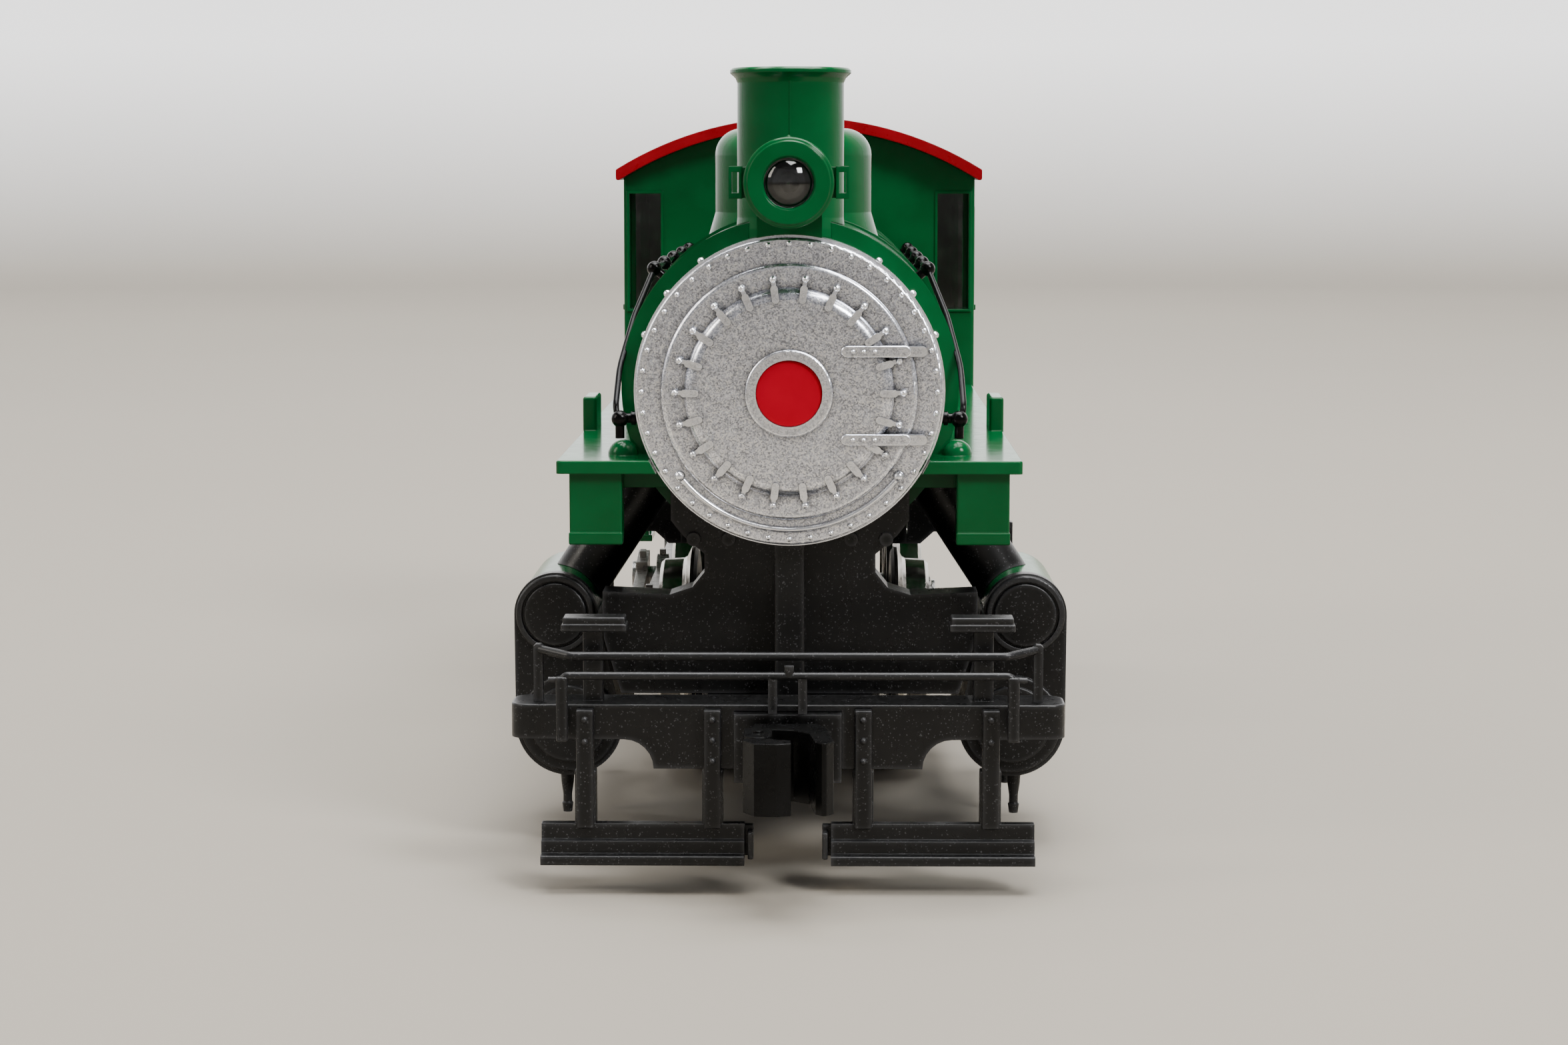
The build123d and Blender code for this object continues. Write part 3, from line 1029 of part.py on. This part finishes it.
save("frame_left", frame_side())
save("frame_right", flip(frame_side()))
save("frame_spacers", *frame_spacers())
save("chassis_screws", *chassis_screws())
save("keeper_plate", keeper_plate())
save("axle_bearings", *axle_bearings())
save("pickup_strips", pickup_strip(), flip(pickup_strip()))
save("motor_cradle", motor_cradle())
save("motor_can", motor_can())
save("motor_armature", motor_armature())
save("flywheel", flywheel())
save("worm", worm())
save("idler_gear", *idler_gear())
GEAR_PLACE = Pos(0, AXLE_YS["main"], AXLE_Z)
save("axle_gear", GEAR_PLACE * gear(AXLE_GEAR_TEETH, (-1.2, 1.2), AXLE_R + 0.01, gap_up=False))
for axle_name in AXLE_YS:
    wheelset(axle_name)
save("side_rod_left", side_rod("left"))
save("side_rod_right", flip(side_rod("right")))
save("main_rod_left", main_rod("left"))
save("main_rod_right", flip(main_rod("right")))
save("crosshead_left", crosshead("left"))
save("crosshead_right", flip(crosshead("right")))
save("crosshead_guides", crosshead_guide(), flip(crosshead_guide()))
save("cylinder_blocks", cylinder_block(), flip(cylinder_block()))
save("saddle", saddle())
save("steam_pipes", steam_pipe(), flip(steam_pipe()))
save("pilot_beam", pilot_beam())
save("footboards", footboard(), flip(footboard()))
save("pilot_handrail", pilot_handrail())
save("uncoupling_lever", uncoupling_lever())
save("coupler_pocket", coupler_pocket())
save("front_coupler", front_coupler())
save("coupler_knuckle", coupler_knuckle())
save("smokebox_front", smokebox_front())
save("number_plate", number_plate())
save("smokebox_ring", smokebox_ring())
save("smokestack", smokestack())
save("headlight_case", headlight_case())
save("headlight_lens", headlight_lens())
save("headlight_bulb", headlight_bulb())
save("boiler_shell", boiler_shell())
save("domes", *[dome(*sizes) for sizes in DOMES])
save("bell", bell())
save("safety_valves", *safety_valves())
save("boiler_weight", boiler_weight())
save("circuit_board", circuit_board())
save("running_boards", *running_board(), *[flip(piece) for piece in running_board()])
save("handrails", handrail(), flip(handrail()))
save("cab_shell", cab_shell())
save("cab_roof", cab_roof())
save("cab_glazing", *cab_glazing())
save("backhead", backhead())
save("drawbar", drawbar())
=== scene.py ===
"""Looks for the HO six-coupled steam switcher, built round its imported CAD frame."""
import json
import math

import bmesh
import bpy
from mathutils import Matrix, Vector


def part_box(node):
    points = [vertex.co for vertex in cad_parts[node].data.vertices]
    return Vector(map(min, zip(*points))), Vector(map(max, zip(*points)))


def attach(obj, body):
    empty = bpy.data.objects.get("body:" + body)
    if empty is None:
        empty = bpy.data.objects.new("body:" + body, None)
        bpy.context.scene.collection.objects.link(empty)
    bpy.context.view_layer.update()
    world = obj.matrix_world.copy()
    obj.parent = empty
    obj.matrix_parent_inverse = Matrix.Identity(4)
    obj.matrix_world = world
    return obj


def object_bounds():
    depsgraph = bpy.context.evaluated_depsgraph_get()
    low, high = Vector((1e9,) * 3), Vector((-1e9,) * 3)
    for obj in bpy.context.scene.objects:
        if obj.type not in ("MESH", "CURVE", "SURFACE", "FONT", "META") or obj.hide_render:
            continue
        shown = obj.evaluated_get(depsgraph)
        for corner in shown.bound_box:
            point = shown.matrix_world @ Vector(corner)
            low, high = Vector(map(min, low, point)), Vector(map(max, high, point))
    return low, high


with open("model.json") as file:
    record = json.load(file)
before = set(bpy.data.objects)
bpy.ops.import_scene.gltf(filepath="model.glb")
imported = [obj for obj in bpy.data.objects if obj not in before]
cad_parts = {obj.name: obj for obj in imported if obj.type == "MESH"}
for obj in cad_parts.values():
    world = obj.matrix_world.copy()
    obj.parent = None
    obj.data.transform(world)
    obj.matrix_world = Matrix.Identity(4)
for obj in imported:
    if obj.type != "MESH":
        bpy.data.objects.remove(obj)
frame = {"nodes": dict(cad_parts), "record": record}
CAD_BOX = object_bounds()
MM = 0.001

# ---- places taken from the frame -------------------------------------------------------
SLOT_OF = {part["node"]: part["material_slot"] for part in frame["record"]["subparts"]}
FOOTBOARDS_FRONT_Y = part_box("footboards")[0].y

# ---- shared numbers --------------------------------------------------------------------
WHITE = (1.0, 1.0, 1.0)
BLACK = (0.0, 0.0, 0.0)
TEXTURE_SAMPLES = 6           # rays for the painted crevice shade and the painted edge highlights
BEVEL_SAMPLES = 4
NOISE_LOW = 0.3               # a noise texture's values mostly lie between these two
NOISE_HIGH = 0.7
METAL_EDGE_MM = 0.08          # rounding of the edges on metal parts
TURNED_STEPS = 96             # points round a turned surface
FLAKES_PER_MM = 12.0          # metal flake in the silver plastic
SPECKS_PER_MM = 14.0          # light specks in the black plastic
BLACK_HIGHLIGHT_MM = 0.35          # reach of the painted highlights along the edges of black mouldings
SILVER_HIGHLIGHT_MM = 0.5          # reach of the painted highlights along the edges of the smokebox front
GLUE_GAP = 0.06 * MM          # gap between the lens and the dark cup behind it
CUP_WALL = 0.03 * MM          # thickness of the cup
CUP_DEPTHS = (2.2 * MM, 2.75 * MM)  # its shoulder and its tip behind the lens
FLOOR_DROP = 0.02 * MM        # floor under the wheel flanges
FLOOR_FLAT = 0.95             # radius of the level floor, metres
FLOOR_BEND = 0.35             # radius of its rim's curve
FLOOR_WALL = 1.3              # height of the wall's top over the floor
BEND_STEPS = 12
SENSOR_MM = 36.0
LENS_MM = 70.4
EYE_X = 2.36 * MM
EYE_AHEAD = 187.0 * MM        # in front of the footboards
EYE_Z = 45.1 * MM
EYE_PITCH = 6.62              # degrees below level
EYE_YAW = 0.79                # degrees towards -X


# ---- node materials ---------------------------------------------------------------------
class Look:
    """A Principled material whose nodes are added one call at a time."""

    def __init__(self, name, roughness, metallic=0.0, specular=0.5):
        self.material = bpy.data.materials.new(name)
        self.material.use_nodes = True
        self.tree = self.material.node_tree
        self.shader = self.tree.nodes["Principled BSDF"]
        self.shader.inputs["Roughness"].default_value = roughness
        self.shader.inputs["Metallic"].default_value = metallic
        self.shader.inputs["Specular IOR Level"].default_value = specular
        self.normal = None
        self.place = self.node("ShaderNodeTexCoord").outputs["Object"]

    def node(self, kind, **settings):
        node = self.tree.nodes.new(kind)
        for key, value in settings.items():
            setattr(node, key, value)
        return node

    def link(self, output, node_input):
        self.tree.links.new(output, node_input)

    def scaled(self, per_mm, stretch=(1, 1, 1)):
        """Object coordinates scaled so that a texture has per_mm cells in a millimetre."""
        mapping = self.node("ShaderNodeMapping")
        mapping.inputs["Scale"].default_value = [per_mm / MM * s for s in stretch]
        self.link(self.place, mapping.inputs["Vector"])
        return mapping.outputs["Vector"]

    def noise(self, per_mm, detail=3.0, stretch=(1, 1, 1)):
        noise = self.node("ShaderNodeTexNoise")
        noise.inputs["Scale"].default_value = 1.0
        noise.inputs["Detail"].default_value = detail
        self.link(self.scaled(per_mm, stretch), noise.inputs["Vector"])
        return noise.outputs["Fac"]

    def cells(self, per_mm):
        """A random grey for each small cell, as metal flake or speckle has."""
        voronoi = self.node("ShaderNodeTexVoronoi")
        voronoi.inputs["Scale"].default_value = 1.0
        self.link(self.scaled(per_mm), voronoi.inputs["Vector"])
        grey = self.node("ShaderNodeSeparateColor")
        self.link(voronoi.outputs["Color"], grey.inputs["Color"])
        return grey.outputs["Red"]

    def ramp(self, value, *stops):
        """Colour or grey by value, from (position, colour) stops."""
        ramp = self.node("ShaderNodeValToRGB")
        elements = ramp.color_ramp.elements
        while len(elements) < len(stops):
            elements.new(0.5)
        for element, (position, colour) in zip(elements, stops):
            element.position = position
            element.color = (*colour, 1.0)
        self.link(value, ramp.inputs["Fac"])
        return ramp.outputs["Color"]

    def mix(self, factor, first, second, blend="MIX"):
        mix = self.node("ShaderNodeMix", data_type="RGBA", blend_type=blend)
        sockets = (mix.inputs[0], mix.inputs[6], mix.inputs[7])
        for socket, value in zip(sockets, (factor, first, second)):
            if isinstance(value, bpy.types.NodeSocket):
                self.link(value, socket)
            else:
                socket.default_value = value if isinstance(value, float) else (*value, 1.0)
        return mix.outputs[2]

    def spread(self, value, low, high):
        """A noise value mapped to the range low to high."""
        span = self.node("ShaderNodeMapRange")
        span.inputs["From Min"].default_value = NOISE_LOW
        span.inputs["From Max"].default_value = NOISE_HIGH
        span.inputs["To Min"].default_value = low
        span.inputs["To Max"].default_value = high
        self.link(value, span.inputs["Value"])
        return span.outputs["Result"]

    def soften(self, radius_mm):
        """Rounds the look of every hard edge, as a moulding has."""
        bevel = self.node("ShaderNodeBevel", samples=BEVEL_SAMPLES)
        bevel.inputs["Radius"].default_value = radius_mm * MM
        self.normal = bevel.outputs["Normal"]

    def occlusion(self, distance_mm, inside=False):
        """How open the object's own surface is, looking outwards or into the solid."""
        near = self.node("ShaderNodeAmbientOcclusion", samples=TEXTURE_SAMPLES)
        near.only_local = True
        near.inside = inside
        near.inputs["Distance"].default_value = distance_mm * MM
        return near.outputs["AO"]

    def crevice_shade(self, distance_mm, darkest):
        """Painted shade: white in the open, falling to the grey darkest where surfaces crowd
        together.
        """
        return self.ramp(self.occlusion(distance_mm), (0.35, (darkest,) * 3), (0.95, WHITE))

    def edges(self, distance_mm):
        """Mask for painted highlights: white along outward edges and small raised parts, black
        elsewhere.
        """
        thin = self.occlusion(distance_mm, inside=True)
        return self.ramp(thin, (0.45, WHITE), (0.9, BLACK))

    def bump(self, height, strength, depth_mm):
        bump = self.node("ShaderNodeBump")
        bump.inputs["Strength"].default_value = strength
        bump.inputs["Distance"].default_value = depth_mm * MM
        self.link(height, bump.inputs["Height"])
        if self.normal:
            self.link(self.normal, bump.inputs["Normal"])
        self.normal = bump.outputs["Normal"]

    def done(self, colour, roughness=None):
        self.link(colour, self.shader.inputs["Base Color"])
        if roughness:
            self.link(roughness, self.shader.inputs["Roughness"])
        if self.normal:
            self.link(self.normal, self.shader.inputs["Normal"])
        return self.material


def moulded(name, dark, light, roughness, grain=0.3, speck=None, highlight_colour=None, edge=0.12,
            specular=0.35):
    """Moulded plastic: slow colour drift, fine grain, sparse light specks and painted
    highlights along the edges.
    """
    look = Look(name, roughness, specular=specular)
    colour = look.ramp(look.noise(0.25, 4.0), (0.35, dark), (0.65, light))
    # Painted highlight: the edges are lightened towards the given colour.
    if highlight_colour:
        colour = look.mix(look.edges(BLACK_HIGHLIGHT_MM), colour, highlight_colour)
    if speck:
        dots = look.ramp(look.cells(SPECKS_PER_MM), (0.955, BLACK), (0.97, WHITE))
        colour = look.mix(dots, colour, speck)
    look.soften(edge)
    look.bump(look.noise(9.0, 2.0), grain, 0.012)
    look.bump(look.noise(0.9, 3.0), grain * 0.5, 0.04)
    rough = look.spread(look.noise(1.2, 5.0), roughness * 0.85, roughness * 1.2)
    return look.done(colour, rough)


def silver_flake(name):
    """Silver plastic with metal flake: each flake has its own grey and its own height."""
    look = Look(name, 0.24, metallic=1.0)
    dull, mid, bright = (0.32, 0.33, 0.37), (0.58, 0.6, 0.67), (0.86, 0.88, 0.96)
    stops = ((0.0, dull), (0.35, mid), (0.7, bright), (0.88, WHITE))
    colour = look.ramp(look.cells(FLAKES_PER_MM), *stops)
    # Painted shade in the crevices, then painted highlights along the edges.
    colour = look.mix(1.0, colour, look.crevice_shade(0.5, 0.14), "MULTIPLY")
    colour = look.mix(look.edges(SILVER_HIGHLIGHT_MM), colour, (0.96, 0.97, 1.0))
    look.bump(look.cells(FLAKES_PER_MM), 0.14, 0.008)
    rough = look.spread(look.noise(2.0, 4.0), 0.19, 0.29)
    return look.done(colour, rough)


def metal(name, dark, light, roughness, scratch=(1, 1, 1)):
    """Bare or plated metal with fine tool marks and a slightly uneven tarnish."""
    look = Look(name, roughness, metallic=1.0)
    colour = look.ramp(look.noise(0.6, 5.0), (0.3, dark), (0.7, light))
    look.soften(METAL_EDGE_MM)
    look.bump(look.noise(6.0, 3.0, scratch), 0.25, 0.01)
    rough = look.spread(look.noise(1.5, 5.0, scratch), roughness * 0.7, roughness * 1.35)
    return look.done(colour, rough)


def clear(name, tint, roughness=0.02, specular=0.5):
    """Clear plastic or glass with faint flow marks."""
    look = Look(name, roughness, specular=specular)
    look.shader.inputs["Transmission Weight"].default_value = 1.0
    look.shader.inputs["IOR"].default_value = 1.49
    colour = look.ramp(look.noise(0.5, 2.0), (0.3, tint), (0.7, (0.97, 0.98, 0.98)))
    look.bump(look.noise(0.6, 2.0), 0.05, 0.02)
    return look.done(colour)


BLACK_SPECK = (0.04, 0.04, 0.042)
# Colour of the painted highlights along the edges of black mouldings.
BLACK_HIGHLIGHT = (0.026, 0.026, 0.027)
LOOKS = {
    "green_plastic": moulded(
        "green_moulding", (0.0, 0.056, 0.013), (0.0, 0.07, 0.0175), 0.15, 0.04, specular=0.16),
    "silver_plastic": silver_flake("silver_flake_moulding"),
    "black_plastic": moulded(
        "black_moulding", (0.002, 0.002, 0.0021), (0.004, 0.004, 0.0041), 0.3, 0.25,
        BLACK_SPECK, BLACK_HIGHLIGHT, edge=0.08, specular=0.25),
    "gloss_black": moulded(
        "gloss_black_wire", BLACK, (0.001, 0.001, 0.001), 0.14, 0.03, specular=0.12),
    "coupler_plastic": moulded(
        "coupler_moulding", (0.001, 0.001, 0.001), (0.003, 0.003, 0.003), 0.28, 0.2,
        specular=0.12),
    "red_plate": moulded(
        "red_plate_ink", (0.3, 0.0, 0.009), (0.34, 0.0, 0.012), 0.35, 0.1, specular=0.05),
    "red_roof": moulded(
        "red_roof_moulding", (0.17, 0.0, 0.004), (0.21, 0.0, 0.005), 0.3, 0.1, specular=0.15),
    "clear_plastic": clear("clear_moulding", (0.9, 0.93, 0.93)),
    "bulb_glass": clear("bulb_glass", (0.9, 0.86, 0.72), 0.08),
    "cast_zinc": metal("blackened_zinc", (0.02, 0.02, 0.021), (0.045, 0.045, 0.047), 0.45),
    "bright_steel": metal(
        "turned_steel", (0.42, 0.41, 0.4), (0.58, 0.57, 0.56), 0.28, (4, 1, 1)),
    "motor_steel": metal("plated_motor_steel", (0.4, 0.39, 0.37), (0.55, 0.54, 0.51), 0.32),
    "brass_parts": metal("brass", (0.48, 0.31, 0.09), (0.68, 0.46, 0.16), 0.3),
    "nickel_tyre": metal(
        "nickel_plate", (0.46, 0.44, 0.4), (0.62, 0.6, 0.56), 0.2, (3, 1, 1)),
    "nickel_rods": metal(
        "dull_nickel", (0.22, 0.21, 0.2), (0.36, 0.35, 0.33), 0.32, (1, 5, 1)),
    "gear_plastic": moulded("acetal", (0.3, 0.29, 0.26), (0.37, 0.36, 0.33), 0.4, 0.2),
    "board_green": moulded(
        "glass_fibre_board", (0.002, 0.036, 0.012), (0.005, 0.06, 0.021), 0.45, 0.4),
}

NODE_LOOKS = {"cab_glazing": clear("window_moulding", (0.45, 0.47, 0.46), specular=0.12)}

for node_name, node_object in frame["nodes"].items():
    node_object.data.materials.clear()
    node_object.data.materials.append(NODE_LOOKS.get(node_name, LOOKS[SLOT_OF[node_name]]))


# ---- shapes ----------------------------------------------------------------------------
def turned(name, profile, axis_y=False):
    """A smooth surface of revolution of (radius, height) points, about Z or about Y."""
    mesh = bpy.data.meshes.new(name)
    shape = bmesh.new()
    rings = []
    for radius, height in profile:
        ring = []
        for step in range(TURNED_STEPS):
            angle = 2 * math.pi * step / TURNED_STEPS
            across, along = radius * math.cos(angle), radius * math.sin(angle)
            point = (across, height, along) if axis_y else (across, along, height)
            ring.append(shape.verts.new(point))
        rings.append(ring)
    for low, high in zip(rings, rings[1:]):
        for step in range(TURNED_STEPS):
            after = (step + 1) % TURNED_STEPS
            shape.faces.new((low[step], low[after], high[after], high[step]))
    bmesh.ops.remove_doubles(shape, verts=shape.verts, dist=1e-9)
    bmesh.ops.recalc_face_normals(shape, faces=shape.faces)
    for face in shape.faces:
        face.smooth = True
    shape.to_mesh(mesh)
    shape.free()
    piece = bpy.data.objects.new(name, mesh)
    bpy.context.scene.collection.objects.link(piece)
    return piece


def on_chassis(piece, slot):
    """Puts a new piece on the chassis body, with the material of its named slot."""
    piece.data.materials.append(LOOKS[slot])
    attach(piece, "chassis")


def headlight_shade_cup():
    """Dark cup behind the lens, narrowing towards its back; it stands in for the shade inside
    the headlight.
    """
    low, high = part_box("headlight_lens")
    middle_z, back = (low.z + high.z) / 2, high.y
    rim = (high.x - low.x) / 2
    waist, tip = 0.78 * rim, 0.02 * rim
    shoulder, end = (back + depth for depth in CUP_DEPTHS)
    inner = [(rim, back + GLUE_GAP), (waist, shoulder), (tip, end)]
    outer = [(tip, end - CUP_WALL)]
    outer += [(radius - CUP_WALL, along - CUP_WALL) for radius, along in reversed(inner[:2])]
    cup = turned("headlight_shade_cup", inner + outer + inner[:1], axis_y=True)
    cup.location.z = middle_z
    on_chassis(cup, "cast_zinc")


# ---- floor, light and camera -------------------------------------------------------------
def studio_floor():
    """A round pale sweep: a flat floor whose rim curves up into a low wall."""
    floor_z = CAD_BOX[0].z - FLOOR_DROP
    profile = [(0.0, floor_z), (FLOOR_FLAT, floor_z)]
    for step in range(1, BEND_STEPS + 1):
        angle = math.pi / 2 * step / BEND_STEPS
        out = FLOOR_FLAT + FLOOR_BEND * math.sin(angle)
        profile.append((out, floor_z + FLOOR_BEND * (1 - math.cos(angle))))
    profile.append((FLOOR_FLAT + FLOOR_BEND, floor_z + FLOOR_WALL))
    sweep = turned("floor", profile)
    look = Look("pale_floor", 0.8, specular=0.2)
    position = look.node("ShaderNodeSeparateXYZ")
    look.link(look.place, position.inputs["Vector"])
    floor_stop, wall_stop = (0.0, (0.236, 0.214, 0.18)), (0.1, (0.87, 0.867, 0.87))
    paper = look.ramp(position.outputs["Z"], floor_stop, wall_stop)
    cloud = look.ramp(look.noise(0.004, 2.0), (0.3, (0.95, 0.95, 0.95)), (0.7, WHITE))
    colour = look.mix(1.0, paper, cloud, "MULTIPLY")
    # Painted shade: the sweep darkens ahead of the engine, where the silver front reflects it.
    far_front, near_front, shade = -1.1, -0.4, 0.78
    depth = look.node("ShaderNodeMapRange")
    depth.inputs["From Min"].default_value = far_front
    depth.inputs["From Max"].default_value = near_front
    depth.inputs["To Min"].default_value = shade
    look.link(position.outputs["Y"], depth.inputs["Value"])
    colour = look.mix(1.0, colour, depth.outputs["Result"], "MULTIPLY")
    look.bump(look.noise(1.5, 2.0), 0.1, 0.05)
    sweep.data.materials.append(look.done(colour))


def softbox(name, place, size, radiance, target=(0, 0, 0.025), tint=(1, 1, 1)):
    """A rectangular area light; its power follows from the radiance that its face shows."""
    data = bpy.data.lights.new(name, "AREA")
    data.shape = "RECTANGLE"
    data.size, data.size_y = size
    data.energy = radiance * math.pi * size[0] * size[1]
    data.color = tint
    lamp = bpy.data.objects.new(name, data)
    lamp.location = place
    lamp.rotation_euler = (Vector(target) - Vector(place)).to_track_quat("-Z", "Y").to_euler()
    bpy.context.scene.collection.objects.link(lamp)


def light():
    world = bpy.data.worlds.new("pale_room")
    world.use_nodes = True
    backdrop = world.node_tree.nodes["Background"]
    backdrop.inputs["Color"].default_value = (0.98, 0.98, 1.0, 1)
    backdrop.inputs["Strength"].default_value = 0.15
    bpy.context.scene.world = world
    softbox("overhead", place=(0.06, -0.06, 0.6), size=(0.4, 0.4), radiance=17.0)
    softbox("right_key", place=(0.36, -0.4, 0.46), size=(0.18, 0.18), radiance=50.0)
    softbox("left_fill", place=(-0.52, -0.2, 0.36), size=(0.18, 0.34), radiance=10.0,
            tint=(1.0, 0.93, 0.83))
    softbox("backdrop_light", place=(0.0, 0.35, 0.95), size=(1.0, 0.4), radiance=20.0,
            target=(0, 1.2, 0.2))


def camera():
    """An eye ahead of the footboards, level with the headlight and looking slightly down."""
    data = bpy.data.cameras.new("camera")
    data.sensor_width = SENSOR_MM
    data.lens = LENS_MM
    data.clip_start = 0.01
    eye = bpy.data.objects.new("camera", data)
    eye.location = (EYE_X, FOOTBOARDS_FRONT_Y - EYE_AHEAD, EYE_Z)
    eye.rotation_euler = (math.radians(90 - EYE_PITCH), 0, math.radians(EYE_YAW))
    bpy.context.scene.collection.objects.link(eye)
    bpy.context.scene.camera = eye


headlight_shade_cup()
studio_floor()
light()
camera()

bpy.context.view_layer.update()
